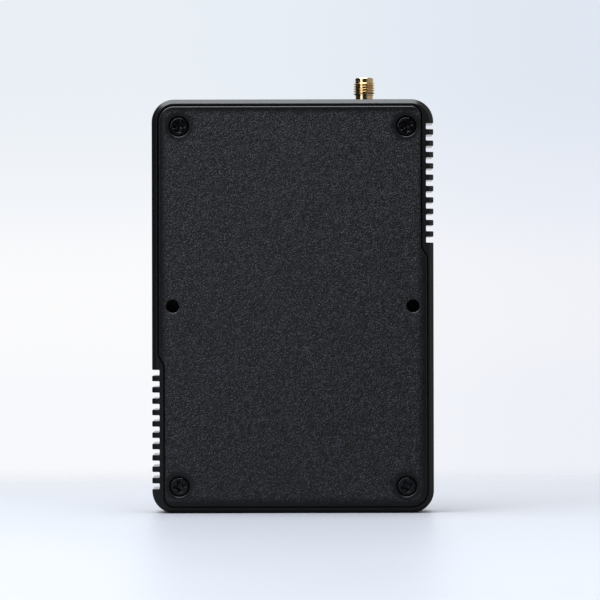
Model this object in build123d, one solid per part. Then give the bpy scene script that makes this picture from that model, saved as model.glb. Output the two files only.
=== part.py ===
from build123d import *
import os

# A small cellular signal booster with a built-in indoor antenna and one threaded antenna jack.
#
# Everything is drawn with the case lying on its front: X to the right and Y up the case as the
# back is looked at, Z from the front towards the back cover, and the origin in the middle of the
# case. write_part() stands each piece up, so that the finished frame has +Z up the case, the back
# cover facing -Y, and the origin under the middle of the case's bottom edge.

# Case
CASE_W = 80.0
CASE_H = 117.5
CASE_T = 22.0
CORNER_R = 6.4
FRONT_EDGE_R = 2.0
RIM_EDGE = 1.15
RIM_EDGE_R = 0.4
FRONT_WALL = 2.0
COVER_T = 2.6
COVER_RISE = 0.6
BACK = CASE_T / 2
FRONT = -CASE_T / 2
RIM = BACK - COVER_RISE
LEDGE = BACK - COVER_T
FLOOR = FRONT + FRONT_WALL

# Back cover and the groove round it
COVER_INSET = 1.95
GROOVE = 0.42
LEDGE_W = 0.55
COVER_CORNER_R = CORNER_R - COVER_INSET
COVER_EDGE = 0.25
LIP_GAP = 0.15
LIP_T = 1.1
LIP_H = 1.8

# Ventilation combs, one on each long side, turned half a turn from each other
COMB_SLOTS = 11
COMB_PITCH = 3.22
COMB_END = 51.85
SLOT_W = 1.65
SLOT_DEPTH = 2.12
SLOT_ROUND = 0.28
VENT_W = 1.2
VENT_LOW = -6.5
VENT_HIGH = 6.0
STEP_IN = 1.65
STEP_RUN = 2.9
STEP_END = 1.3
STEP_ROUND = 1.6
STEP_CORNER_R = 2.7

# Case screws in sunk wells, and their posts
SCREW_X = 32.25
SCREW_Y = 51.1
WELL_R = 2.92
WELL_DEPTH = 2.2
WELL_EDGE = 0.2
HEAD_R = 2.5
HEAD_H = 1.7
HEAD_ROUND = 0.3
SHANK_R = 1.3
SHANK_L = 10.0
SHANK_TIP = 0.7
CROSS_SPAN = 3.5
CROSS_ARM = 0.95
CROSS_DEPTH = 1.25
SCREW_TURNS = ((-1, 1, 2), (1, 1, 24), (-1, -1, 12), (1, -1, 20))
POST_R = 3.5
POST_FOOT_R = 4.1
POST_FOOT_H = 4.0
POST_SUNK = 0.5
COVER_BOSS_R = 3.5
COVER_BOSS_H = 1.2
THREAD_GAP = 0.05

# Mounting holes at the middle of the long sides
MOUNT_X = 34.1
MOUNT_HOLE_R = 1.78
MOUNT_HOLE_DEPTH = 8.0
MOUNT_BOSS_R = 3.0
MOUNT_BOSS_FLOOR = 1.2
MOUNT_EDGE = 0.3

# Main board
BOARD_T = 1.6
BOARD_FRONT = 3.4
BOARD_BACK = BOARD_FRONT + BOARD_T
BOARD_W = 66.0
BOARD_TOP = 53.7
BOARD_BOTTOM = -50.0
BOARD_CORNER_CUT = 4.4
BOARD_ROUND = 1.0
BOARD_SCREW_X = 28.5
BOARD_SCREW_TOP = 38.0
BOARD_SCREW_BOTTOM = -41.0
BOARD_POST_R = 2.6
SMALL_SCREW_R = 1.0
SMALL_HEAD_R = 2.0
SMALL_HEAD_H = 1.3
SMALL_SHANK_L = 6.0
SMALL_SHANK_TIP = 0.4
SMALL_HEAD_ROUND = 0.45
SMALL_CROSS_SPAN = 2.2
SMALL_CROSS_ARM = 0.6
SMALL_CROSS_DEPTH = 0.8

# Antenna jack on the top edge
JACK_X = 20.5
JACK_Z = 3.0
JACK_STANDS = 6.25
JACK_TIP = CASE_H / 2 + JACK_STANDS
JACK_THREAD_R = 3.125
JACK_THREAD_L = 3.95
JACK_NECK_R = 2.57
JACK_LEAD_R = 2.65
JACK_LEAD_L = 1.0
JACK_NECK_L = 4.6
JACK_FLANGE_FACE = JACK_TIP - JACK_LEAD_L - JACK_THREAD_L - JACK_NECK_L
JACK_FLANGE = 6.35
JACK_FLANGE_T = 1.7
JACK_FLANGE_CUT = 0.4
JACK_ROOT = JACK_FLANGE_FACE - JACK_FLANGE_T
JACK_LEAD_EDGE = 0.15
JACK_BORE_R = 2.05
JACK_MOUTH_R = 2.32
JACK_MOUTH_DEPTH = 1.9
JACK_LEG = 1.0
JACK_LEG_T = 1.1
JACK_LEG_L = 4.6
JACK_CONTACT_R = 0.64
JACK_SOCKET_R = 0.46
JACK_SOCKET_L = 3.2
JACK_SLIT_W = 0.16
JACK_SLIT_L = 2.4
JACK_TAIL_R = 0.4
JACK_HOLE_R = 3.5

# Power jack behind the top edge
POWER_X = -16.0
POWER_W = 9.0
POWER_H = 11.0
POWER_L = 14.4
POWER_FRONT_L = 3.5
POWER_FACE = CASE_H / 2 - COVER_INSET - LEDGE_W - 0.3
POWER_Z = BOARD_FRONT - 6.5
POWER_BORE_R = 3.15
POWER_BORE_L = 9.6
POWER_PIN_R = 1.0
POWER_HOLE_R = 4.0
POWER_BODY_R = 4.0
POWER_EDGE = 0.3
POWER_PIN_DEPTH = 1.0
POWER_PIN_ROUND = 0.6
POWER_TAB_W = 2.0
POWER_TAB_T = 0.5
POWER_SLOT_W = 2.6
POWER_SLOT_LOW = 2.5
POWER_SLOT_HIGH = 3.9
POWER_SPRING_W = 2.4
POWER_SPRING_LOW = 3.3
POWER_SPRING_T = 0.4

# Lights
LIGHT_X = (1.5, 6.5, 11.5)
LIGHT_Y = 48.0
LIGHT_R = 1.2
LIGHT_GAP = 0.05
LED_H = 0.8
LED_L = 1.6
LED_W = 0.8
LED_BASE_T = 0.35
LED_LENS_L = 1.0
PIPE_W = 4.0
PIPE_T = 1.2
PIPE_GAP = 0.4
PIPE_ROUND = 0.3

# Heat spreader, which is also the antenna's ground plate, and its pads
SPREADER_BACK = 1.2
SPREADER_T = 1.5
SPREADER_FRONT = SPREADER_BACK - SPREADER_T
SPREADER_W = 56.0
SPREADER_TOP = 34.0
SPREADER_BOTTOM = -36.0
SPREADER_SCREW_X = 25.0
SPREADER_SCREW_TOP = 30.0
SPREADER_SCREW_BOTTOM = -32.0
SPREADER_ROUND = 3.0
PAD_W = 16.0
PAD_H = 18.0

# Indoor antenna
PATCH_W = 42.0
PATCH_TOP = 27.0
PATCH_BOTTOM = -29.0
PATCH_T = 0.6
PATCH_BACK = -6.3
PATCH_FRONT = PATCH_BACK - PATCH_T
PATCH_SLOT_W = 3.0
PATCH_SLOT_L = 36.0
PATCH_SLOT_X = 8.0
SPACER_X = 17.0
SPACER_TOP = 22.0
SPACER_BOTTOM = -24.0
SPACER_R = 2.2
SPIGOT_R = 1.05
SPIGOT_HOLE_R = 1.1
PATCH_ROUND = 2.0
PATCH_SCREW_R = 0.8
PATCH_SCREW_L = 4.4
PATCH_HEAD_R = 1.8
PATCH_HEAD_H = 1.1
PATCH_HEAD_ROUND = 0.4
FEED_Y = -16.2
FEED_R = 0.65
FEED_STANDS = 0.4
FEED_GAP = 0.15
FEED_EDGE = 0.2

# Coaxial lead from the board to the antenna
LEAD_R = 0.565
LEAD_BEND_R = 2.4
PLUG_Y = -47.0
PLUG_Z = 2.2
PLUG_EXIT = PLUG_Y + 3.4
LEAD_FRONT_Z = SPREADER_FRONT - LEAD_R - 0.06
LEAD_START_L = 2.2
LEAD_SLOPE_L = 3.6
SOCKET_W = 3.0
SOCKET_T = 0.35
SOCKET_H = 1.2
SOCKET_R = 1.0
SOCKET_BORE_R = 0.75
SOCKET_PIN_R = 0.22
PLUG_R = 1.4
PLUG_BORE_R = 1.05
PLUG_H = 1.7
PLUG_ROOF_Z = BOARD_FRONT - 1.35
FERRULE_W = 1.8
FERRULE_H = 1.5
FERRULE_ROUND = 0.3

# Shield cans on the back of the board
CAN_X = 15.75
CAN_W = 26.0
CAN_TOP = 30.0
CAN_BOTTOM = -36.0
FENCE_T = 0.4
FENCE_H = 2.2
LID_T = 0.25
LID_SKIRT_T = 0.2
LID_GAP = 0.05
LID_SKIRT_H = 1.5
LID_ROUND = 0.6
LID_HOLE_R = 0.55
LID_HOLE_X = 3.0
LID_HOLE_Y = 3.4
LID_HOLE_COLUMNS = 3
LID_HOLE_ROWS = 8

# Parts on the board: places, then sizes
AMPLIFIER_UP = (-CAN_X, -18.0)
AMPLIFIER_DOWN = (CAN_X, 12.0)
LOW_NOISE_UP = (-CAN_X, 22.0)
LOW_NOISE_DOWN = (CAN_X, -28.0)
DONOR_DUPLEXER = (18.0, 41.0)
SERVER_DUPLEXER = (12.0, -42.0)
SAW_Y = (2.0, -10.0)
GAIN_X = CAN_X + 6.0
GAIN_Y = 5.0
CONTROLLER = (-4.0, 42.0)
CRYSTAL = (5.0, 42.0)
REGULATOR = (-7.0, 38.5)
INDUCTOR = (-6.0, 46.5)
BULK_CAPACITORS = ((-24.3, 44.2), (3.0, 40.5))
CAPACITOR_X = CAN_X - 6.0
CAPACITOR_PITCH = 7.0
CAPACITOR_ROWS = (0, 1, 2, 3, 5, 6, 7)
RESISTOR_X = 24.0
RESISTOR_PITCH = 6.0
RESISTOR_ROWS = 4
SMALL_FIRST_Y = -30.0
SMALL_L = 1.6
SMALL_W = 0.8
SMALL_CAPACITOR_H = 0.8
SMALL_RESISTOR_H = 0.45
SMALL_ROUND = 0.06
CHIP_EDGE = 0.12
CHIP_DOT_R = 0.22
CHIP_DOT_IN = 0.55
CHIP_DOT_DEPTH = 0.05
CHIP_LEAD_W = 0.24
CHIP_LEAD_T = 0.15
CHIP_LEAD_OUT = 1.0
CHIP_LEAD_ARM = 0.45
CHIP_LEAD_H = 0.7
CHIP_LEAD_MARGIN = 1.2
FILTER_L = 15.0
FILTER_W = 6.4
FILTER_H = 2.4
FILTER_ROUND = 0.3
FILTER_HOLES = 6
FILTER_HOLE_R = 0.45
BULK_BASE = 6.6
BULK_BASE_T = 1.0
BULK_CUT = 1.0
BULK_CAN_R = 3.1
BULK_CAN_L = 4.8
BULK_ROUND = 0.4
COIL_W = 7.0
COIL_H = 3.8
COIL_ROUND = 1.4
COIL_RING_OUT = 2.9
COIL_RING_IN = 2.5
COIL_RING_DEPTH = 0.2


def write_part(name, shape):
    """Stand a piece up in the finished frame and write it."""
    placed = Pos(0, 0, CASE_H / 2) * Rot(90, 0, 0) * shape
    export_step(placed, f"parts/{name}.step")


def block(x0, x1, y0, y1, z0, z1):
    """A box between two corners."""
    return Pos((x0 + x1) / 2, (y0 + y1) / 2, (z0 + z1) / 2) * Box(x1 - x0, y1 - y0, z1 - z0)


def rod(x, y, z0, z1, radius):
    """A round bar along Z."""
    return Pos(x, y, (z0 + z1) / 2) * Cylinder(radius, z1 - z0)


def rod_up(x, z, y0, y1, radius):
    """A round bar along Y."""
    return Pos(x, (y0 + y1) / 2, z) * Rot(90, 0, 0) * Cylinder(radius, y1 - y0)


def slab(face, z0, z1):
    """A flat drawing made solid between two depths."""
    return Pos(0, 0, z0) * extrude(face, z1 - z0)


def corners(x, y):
    """The four points at plus and minus x and y."""
    return [(i * x, j * y) for i in (-1, 1) for j in (-1, 1)]


def case_outline():
    return RectangleRounded(CASE_W, CASE_H, CORNER_R)


def comb_step():
    """What the cover gives up beside the right-hand comb, from its slanted foot to the top corner."""
    edge = CASE_W / 2 - COVER_INSET
    foot = COMB_END - (COMB_SLOTS - 1) * COMB_PITCH - SLOT_W - STEP_END
    far = CASE_W
    points = [(far, foot - STEP_RUN), (edge, foot - STEP_RUN), (edge - STEP_IN, foot)]
    points += [(edge - STEP_IN, far), (far, far)]
    return make_face(Polyline(*points, close=True).edges())


def cover_outline():
    """The cover's edge: a rounded rectangle, drawn in beside each comb."""
    width = CASE_W - 2 * COVER_INSET
    height = CASE_H - 2 * COVER_INSET
    step = comb_step()
    face = RectangleRounded(width, height, COVER_CORNER_R) - step - Rot(0, 0, 180) * step
    side = width / 2 - STEP_IN
    top = height / 2 - COVER_CORNER_R
    stepped = face.vertices().filter_by(lambda v: abs(abs(v.X) - side) < 0.01)
    face = fillet(stepped.filter_by(lambda v: abs(v.Y) > top), STEP_CORNER_R)
    outer = face.vertices().filter_by(lambda v: abs(v.X) > side - 0.01)
    return fillet(outer.filter_by(lambda v: abs(v.Y) < CASE_H / 4), STEP_ROUND)


def grown(amount):
    """The cover's edge moved outwards by amount, or inwards where it is negative."""
    return offset(cover_outline(), amount, kind=Kind.ARC)


def comb_cutter():
    """All the slots of the right-hand comb, joined outside the case, with rounded corners."""
    side = CASE_W / 2
    face = Pos(side + 1, COMB_END - CASE_H / 6) * Rectangle(2, CASE_H / 2)
    for i in range(COMB_SLOTS):
        middle = COMB_END - SLOT_W / 2 - i * COMB_PITCH
        face += Pos(side - SLOT_DEPTH / 2, middle) * Rectangle(SLOT_DEPTH, SLOT_W)
    rounded = face.vertices().filter_by(lambda v: v.X < side + 0.5)
    return slab(fillet(rounded, SLOT_ROUND), FRONT - 1, BACK + 1)


def vent_cutter():
    """The slits through the wall behind the right-hand comb."""
    inner = CASE_W / 2 - COVER_INSET - STEP_IN - LEDGE_W
    outer = CASE_W / 2 - SLOT_DEPTH
    slits = []
    for i in range(COMB_SLOTS):
        middle = COMB_END - SLOT_W / 2 - i * COMB_PITCH
        low = middle - VENT_W / 2
        slits.append(block(inner, outer + 0.1, low, low + VENT_W, VENT_LOW, VENT_HIGH))
    return slits


def board_posts():
    """Posts that carry the main board."""
    heights = (BOARD_SCREW_TOP, BOARD_SCREW_BOTTOM)
    return [(i * BOARD_SCREW_X, y) for i in (-1, 1) for y in heights]


def spreader_posts():
    """Posts that carry the heat spreader."""
    heights = (SPREADER_SCREW_TOP, SPREADER_SCREW_BOTTOM)
    return [(i * SPREADER_SCREW_X, y) for i in (-1, 1) for y in heights]


def edges_at(body, height):
    """The edges that lie flat at one height."""
    return body.edges().filter_by(lambda e: abs(e.bounding_box().min.Z - height) < 0.01
                                  and abs(e.bounding_box().max.Z - height) < 0.01)


def front_shell():
    """The deep front half of the case, with its combs, posts and openings."""
    body = slab(case_outline(), FRONT, RIM)
    body = fillet(body.faces().sort_by(Axis.Z)[0].edges(), FRONT_EDGE_R)
    body = chamfer(body.faces().sort_by(Axis.Z)[-1].edges(), RIM_EDGE)
    body = fillet(edges_at(body, RIM - RIM_EDGE), RIM_EDGE_R)
    body -= slab(grown(-LEDGE_W), FLOOR, RIM + 1)
    body -= slab(grown(GROOVE), LEDGE, RIM + 1)
    for turn in (0, 180):
        body -= Rot(0, 0, turn) * comb_cutter()
        body -= [Rot(0, 0, turn) * slit for slit in vent_cutter()]
    for x, y in corners(SCREW_X, SCREW_Y):
        body += rod(x, y, FLOOR - POST_SUNK, LEDGE - COVER_BOSS_H, POST_R)
        body += rod(x, y, FLOOR - POST_SUNK, FLOOR + POST_FOOT_H, POST_FOOT_R)
    for x, y in board_posts():
        body += rod(x, y, FLOOR - POST_SUNK, BOARD_FRONT, BOARD_POST_R)
    for x, y in spreader_posts():
        body += rod(x, y, FLOOR - POST_SUNK, SPREADER_FRONT, BOARD_POST_R)
    for x, y in corners(SCREW_X, SCREW_Y):
        body -= rod(x, y, FLOOR + 1, LEDGE, SHANK_R + THREAD_GAP)
    for x, y in board_posts():
        body -= rod(x, y, BOARD_FRONT - SMALL_SHANK_L - 0.5, BACK, SMALL_SCREW_R + THREAD_GAP)
    for x, y in spreader_posts():
        body -= rod(x, y, SPREADER_FRONT - SMALL_SHANK_L - 0.5, BACK, SMALL_SCREW_R + THREAD_GAP)
    body -= rod_up(JACK_X, JACK_Z, CASE_H / 2 - 4, CASE_H / 2 + 1, JACK_HOLE_R)
    body -= rod_up(POWER_X, POWER_Z, CASE_H / 2 - 4, CASE_H / 2 + 1, POWER_HOLE_R)
    for x in LIGHT_X:
        body -= rod(x, LIGHT_Y, FRONT - 1, FLOOR + 1, LIGHT_R + LIGHT_GAP)
    return body


def mouths(cover, radius):
    """The round edges of one radius on the cover's outer face."""
    circles = cover.edges().filter_by(GeomType.CIRCLE)
    level = circles.filter_by(lambda e: abs(e.center().Z - BACK) < 0.01)
    return level.filter_by(lambda e: abs(e.radius - radius) < 0.01)


def back_cover():
    """The flat back cover, with screw wells, mounting bosses and a locating lip."""
    cover = slab(cover_outline(), LEDGE, BACK)
    cover = chamfer(cover.faces().sort_by(Axis.Z)[-1].edges(), COVER_EDGE)
    lip = grown(-LEDGE_W - LIP_GAP) - grown(-LEDGE_W - LIP_GAP - LIP_T)
    cover += slab(lip, LEDGE - LIP_H, LEDGE)
    for x, y in corners(SCREW_X, SCREW_Y):
        cover -= rod(x, y, LEDGE - LIP_H - 1, LEDGE, COVER_BOSS_R + 0.4)
        cover += rod(x, y, LEDGE - COVER_BOSS_H, LEDGE + POST_SUNK, COVER_BOSS_R)
        cover -= rod(x, y, BACK - WELL_DEPTH, BACK + 1, WELL_R)
        cover -= rod(x, y, FLOOR, BACK, SHANK_R + 0.2)
    for x in (-MOUNT_X, MOUNT_X):
        cover += rod(x, 0, BACK - MOUNT_HOLE_DEPTH - MOUNT_BOSS_FLOOR, LEDGE + POST_SUNK, MOUNT_BOSS_R)
        cover -= rod(x, 0, BACK - MOUNT_HOLE_DEPTH, BACK + 1, MOUNT_HOLE_R)
    cover = chamfer(mouths(cover, WELL_R), WELL_EDGE)
    return chamfer(mouths(cover, MOUNT_HOLE_R), MOUNT_EDGE)


def cross_recess(top, span, arm, depth):
    """The tapered cross that a screwdriver goes into, reaching down from the given depth."""
    face = Rectangle(span, arm) + Rectangle(arm, span)
    inner = face.vertices().filter_by(lambda v: abs(v.X) < span / 2 - 0.1 and abs(v.Y) < span / 2 - 0.1)
    face = fillet(inner, arm * 0.45)
    return Pos(0, 0, top) * extrude(face, -depth, taper=14)


def case_screw():
    """One self-tapping pan-head screw, head up, with its seat at zero."""
    head = Pos(0, 0, HEAD_H / 2) * Cylinder(HEAD_R, HEAD_H)
    head = fillet(head.edges().sort_by(Axis.Z)[-1], HEAD_ROUND)
    shank = Pos(0, 0, -SHANK_L / 2) * Cylinder(SHANK_R, SHANK_L)
    shank = chamfer(shank.edges().sort_by(Axis.Z)[0], SHANK_TIP)
    return head + shank - cross_recess(HEAD_H + 0.01, CROSS_SPAN, CROSS_ARM, CROSS_DEPTH)


def case_screws():
    seat = BACK - WELL_DEPTH
    screw = case_screw()
    screws = []
    for i, j, turn in SCREW_TURNS:
        screws.append(Pos(i * SCREW_X, j * SCREW_Y, seat) * Rot(0, 0, turn) * screw)
    return Compound(screws)


def small_screw():
    """One small pan-head screw, head up, with its seat at zero."""
    head = Pos(0, 0, SMALL_HEAD_H / 2) * Cylinder(SMALL_HEAD_R, SMALL_HEAD_H)
    head = fillet(head.edges().sort_by(Axis.Z)[-1], SMALL_HEAD_ROUND)
    shank = Pos(0, 0, -SMALL_SHANK_L / 2) * Cylinder(SMALL_SCREW_R, SMALL_SHANK_L)
    shank = chamfer(shank.edges().sort_by(Axis.Z)[0], SMALL_SHANK_TIP)
    cross = cross_recess(SMALL_HEAD_H + 0.01, SMALL_CROSS_SPAN, SMALL_CROSS_ARM, SMALL_CROSS_DEPTH)
    return head + shank - cross


def board_screws():
    return Compound([Pos(x, y, BOARD_BACK) * small_screw() for x, y in board_posts()])


def spreader_screws():
    return Compound([Pos(x, y, SPREADER_BACK) * small_screw() for x, y in spreader_posts()])


def main_board():
    """The circuit board, cut away round the posts and the mounting bosses."""
    face = Pos(0, (BOARD_TOP + BOARD_BOTTOM) / 2) * Rectangle(BOARD_W, BOARD_TOP - BOARD_BOTTOM)
    for x, y in corners(SCREW_X, SCREW_Y):
        face -= Pos(x, y) * Rectangle(2 * BOARD_CORNER_CUT, 2 * BOARD_CORNER_CUT)
    face = fillet(face.vertices(), BOARD_ROUND)
    for x in (-MOUNT_X, MOUNT_X):
        face -= Pos(x, 0) * Circle(MOUNT_BOSS_R + 0.6)
    for x, y in board_posts():
        face -= Pos(x, y) * Circle(SMALL_SCREW_R + 0.3)
    return slab(face, BOARD_FRONT, BOARD_BACK)


def fence(x):
    """The soldered frame of one shield can."""
    low = (CAN_TOP + CAN_BOTTOM) / 2
    long = CAN_TOP - CAN_BOTTOM
    ring = Rectangle(CAN_W, long) - Rectangle(CAN_W - 2 * FENCE_T, long - 2 * FENCE_T)
    body = slab(ring, BOARD_BACK, BOARD_BACK + FENCE_H)
    divider = Rectangle(CAN_W - 2 * FENCE_T, FENCE_T)
    body += slab(divider, BOARD_BACK, BOARD_BACK + FENCE_H)
    return Pos(x, low, 0) * body


def can_lid(x):
    """The snap-on lid of one shield can, with its rows of vent holes."""
    low = (CAN_TOP + CAN_BOTTOM) / 2
    long = CAN_TOP - CAN_BOTTOM
    grow = 2 * (LID_GAP + LID_SKIRT_T)
    top = BOARD_BACK + FENCE_H
    body = slab(RectangleRounded(CAN_W + grow, long + grow, LID_ROUND), top - LID_SKIRT_H, top + LID_T)
    body -= slab(Rectangle(CAN_W + 2 * LID_GAP, long + 2 * LID_GAP), top - LID_SKIRT_H - 1, top)
    holes = []
    for i in range(-LID_HOLE_COLUMNS, LID_HOLE_COLUMNS + 1):
        for j in range(-LID_HOLE_ROWS, LID_HOLE_ROWS + 1):
            if j != 0:
                holes.append(rod(i * LID_HOLE_X, j * LID_HOLE_Y, top - 1, top + 1, LID_HOLE_R))
    return Pos(x, low, 0) * (body - holes)


def chip(place, wide, long, high, side=1):
    """A moulded chip on the back (side 1) or the front (side -1) of the board."""
    body = Box(wide, long, high)
    body = chamfer(body.faces().sort_by(Axis.Z)[-1].edges(), CHIP_EDGE)
    dot = Cylinder(CHIP_DOT_R, 2 * CHIP_DOT_DEPTH)
    body -= Pos(wide / 2 - CHIP_DOT_IN, long / 2 - CHIP_DOT_IN, high / 2) * dot
    if side > 0:
        return Pos(*place, BOARD_BACK + high / 2) * body
    return Pos(*place, BOARD_FRONT - high / 2) * Rot(0, 180, 0) * body


def leaded_chip(place, wide, high, pins):
    """A square chip with gull-wing leads on all four sides, on the back of the board."""
    body = chip(place, wide, wide, high)
    row = wide - CHIP_LEAD_MARGIN
    side = wide / 2
    for k in range(pins):
        low = -row / 2 + k * row / (pins - 1) - CHIP_LEAD_W / 2
        far = low + CHIP_LEAD_W
        for turn in (0, 90, 180, 270):
            foot = block(side, side + CHIP_LEAD_OUT, low, far, 0, CHIP_LEAD_T)
            arm = block(side - 0.05, side + CHIP_LEAD_ARM, low, far, 0, CHIP_LEAD_H)
            body += Pos(*place, BOARD_BACK) * Rot(0, 0, turn) * (foot + arm)
    return body


def filter_block(place):
    """A ceramic duplexer block with its row of resonator holes."""
    body = Box(FILTER_L, FILTER_W, FILTER_H)
    body = fillet(body.edges().filter_by(Axis.Z), FILTER_ROUND)
    pitch = FILTER_L / (FILTER_HOLES + 0.25)
    for k in range(FILTER_HOLES):
        along = (k - (FILTER_HOLES - 1) / 2) * pitch
        body -= rod_up(along, 0, -FILTER_W, FILTER_W, FILTER_HOLE_R)
    return Pos(*place, BOARD_BACK + FILTER_H / 2) * body


def small_places(x, pitch, rows):
    """Places in two columns, one in each shield can."""
    return [(i * x, SMALL_FIRST_Y + k * pitch) for i in (-1, 1) for k in rows]


def small_parts(places, high):
    """Equal little parts on the back of the board."""
    piece = fillet(Box(SMALL_L, SMALL_W, high).edges(), SMALL_ROUND)
    return Compound([Pos(x, y, BOARD_BACK + high / 2) * piece for x, y in places])


def bulk_capacitor():
    """An aluminium can capacitor hanging from its square base, with its seat at zero."""
    half = BULK_BASE / 2
    base = block(-half, half, -half, half, -BULK_BASE_T, 0)
    base = chamfer(base.edges().filter_by(Axis.Z).sort_by(Axis.X)[2:], BULK_CUT)
    can = rod(0, 0, -BULK_BASE_T - BULK_CAN_L, -BULK_BASE_T, BULK_CAN_R)
    can = fillet(can.edges().sort_by(Axis.Z)[0], BULK_ROUND)
    return base + can


def power_inductor():
    """A shielded power inductor on the front of the board."""
    body = fillet(Box(COIL_W, COIL_W, COIL_H).edges().filter_by(Axis.Z), COIL_ROUND)
    ring = Cylinder(COIL_RING_OUT, 2 * COIL_RING_DEPTH) - Cylinder(COIL_RING_IN, 2 * COIL_RING_DEPTH)
    body -= Pos(0, 0, -COIL_H / 2) * ring
    return Pos(*INDUCTOR, BOARD_FRONT - COIL_H / 2) * body


def jack_body():
    """The plated body of the antenna jack: threaded barrel, square flange and four legs."""
    barrel = rod_up(0, 0, JACK_FLANGE_FACE, JACK_TIP, JACK_NECK_R)
    thread_top = JACK_TIP - JACK_LEAD_L
    lead = rod_up(0, 0, thread_top, JACK_TIP, JACK_LEAD_R)
    lead = chamfer(lead.edges().sort_by(Axis.Y)[-1], JACK_LEAD_EDGE)
    thread = rod_up(0, 0, thread_top - JACK_THREAD_L, thread_top, JACK_THREAD_R)
    half = JACK_FLANGE / 2
    flange = block(-half, half, JACK_ROOT, JACK_FLANGE_FACE, -half, half)
    flange = chamfer(flange.edges().filter_by(Axis.Y), JACK_FLANGE_CUT)
    body = barrel + lead + thread + flange
    front_leg = BOARD_FRONT - JACK_Z - JACK_LEG_T
    back_leg = BOARD_BACK - JACK_Z
    for x in (-half, half - JACK_LEG):
        for z in (front_leg, back_leg):
            body += block(x, x + JACK_LEG, JACK_ROOT - JACK_LEG_L, JACK_ROOT, z, z + JACK_LEG_T)
    body -= rod_up(0, 0, JACK_ROOT - 1, JACK_TIP + 1, JACK_BORE_R)
    body -= rod_up(0, 0, JACK_TIP - JACK_MOUTH_DEPTH, JACK_TIP + 1, JACK_MOUTH_R)
    return Pos(JACK_X, 0, JACK_Z) * body


def jack_insulator():
    """The white insulator that holds the jack's centre contact."""
    body = rod_up(0, 0, JACK_ROOT, JACK_TIP - JACK_MOUTH_DEPTH, JACK_BORE_R)
    body -= rod_up(0, 0, JACK_ROOT - 1, JACK_TIP, JACK_CONTACT_R)
    return Pos(JACK_X, 0, JACK_Z) * body


def jack_contact():
    """The jack's slotted centre socket, with its tail lying on the board."""
    tip = JACK_TIP - JACK_MOUTH_DEPTH
    slit = JACK_SLIT_W / 2
    body = rod_up(0, 0, JACK_ROOT, tip, JACK_CONTACT_R)
    body -= rod_up(0, 0, tip - JACK_SOCKET_L, tip + 1, JACK_SOCKET_R)
    body -= block(-slit, slit, tip - JACK_SLIT_L, tip + 1, -1, 1)
    body -= block(-1, 1, tip - JACK_SLIT_L, tip + 1, -slit, slit)
    body += rod_up(0, 0, JACK_ROOT - JACK_LEG_L, JACK_ROOT, JACK_TAIL_R)
    return Pos(JACK_X, 0, JACK_Z) * body


def power_housing():
    """The moulded housing of the power jack."""
    back = POWER_FACE - POWER_L
    low = BOARD_FRONT - POWER_H
    head = block(-POWER_W / 2, POWER_W / 2, POWER_FACE - POWER_FRONT_L, POWER_FACE, low, BOARD_FRONT)
    head = chamfer(head.faces().sort_by(Axis.Y)[-1].edges(), POWER_EDGE)
    body = head + rod_up(0, POWER_Z, back, POWER_FACE - 1, POWER_BODY_R)
    body += block(-POWER_BODY_R, POWER_BODY_R, back, POWER_FACE - 1, POWER_Z, BOARD_FRONT)
    body -= rod_up(0, POWER_Z, POWER_FACE - POWER_BORE_L, POWER_FACE + 1, POWER_BORE_R)
    body -= rod_up(0, POWER_Z, back - 1, POWER_FACE, POWER_PIN_R)
    slot = POWER_SLOT_W / 2
    slot_end = POWER_FACE - POWER_FRONT_L
    body -= block(-slot, slot, back - 1, slot_end, POWER_Z + POWER_SLOT_LOW, POWER_Z + POWER_SLOT_HIGH)
    return Pos(POWER_X, 0, 0) * body


def power_pin():
    """The power jack's centre pin and its rear terminal."""
    back = POWER_FACE - POWER_L
    tab = POWER_TAB_W / 2
    body = rod_up(0, POWER_Z, back, POWER_FACE - POWER_PIN_DEPTH, POWER_PIN_R)
    body = fillet(body.edges().sort_by(Axis.Y)[-1], POWER_PIN_ROUND)
    body += block(-tab, tab, back - POWER_TAB_T, back, POWER_Z - POWER_PIN_R, BOARD_FRONT)
    return Pos(POWER_X, 0, 0) * body


def power_spring():
    """The power jack's sleeve contact, a strip in the slot beside the bore."""
    back = POWER_FACE - POWER_L
    half = POWER_SPRING_W / 2
    low = POWER_Z + POWER_SPRING_LOW
    strip = block(-half, half, back, POWER_FACE - POWER_FRONT_L, low, low + POWER_SPRING_T)
    return Pos(POWER_X, 0, 0) * strip


def status_leds():
    """The indicator LEDs on the front of the board."""
    top = BOARD_FRONT - LED_BASE_T
    base = block(-LED_L / 2, LED_L / 2, -LED_W / 2, LED_W / 2, top, BOARD_FRONT)
    lens = block(-LED_LENS_L / 2, LED_LENS_L / 2, -LED_W / 2, LED_W / 2, BOARD_FRONT - LED_H, top)
    return Compound([Pos(x, LIGHT_Y) * (base + lens) for x in LIGHT_X])


def light_pipe():
    """The clear moulding that brings the LEDs to the front face."""
    middle = (LIGHT_X[0] + LIGHT_X[-1]) / 2
    length = LIGHT_X[-1] - LIGHT_X[0] + 2 * LIGHT_R + 2.4
    body = slab(Pos(middle, LIGHT_Y) * SlotOverall(length, PIPE_W), FLOOR, FLOOR + PIPE_T)
    for x in LIGHT_X:
        stem = rod(x, LIGHT_Y, FRONT, BOARD_FRONT - LED_H - PIPE_GAP, LIGHT_R)
        body += fillet(stem.edges().sort_by(Axis.Z)[0], PIPE_ROUND)
    return body


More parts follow.
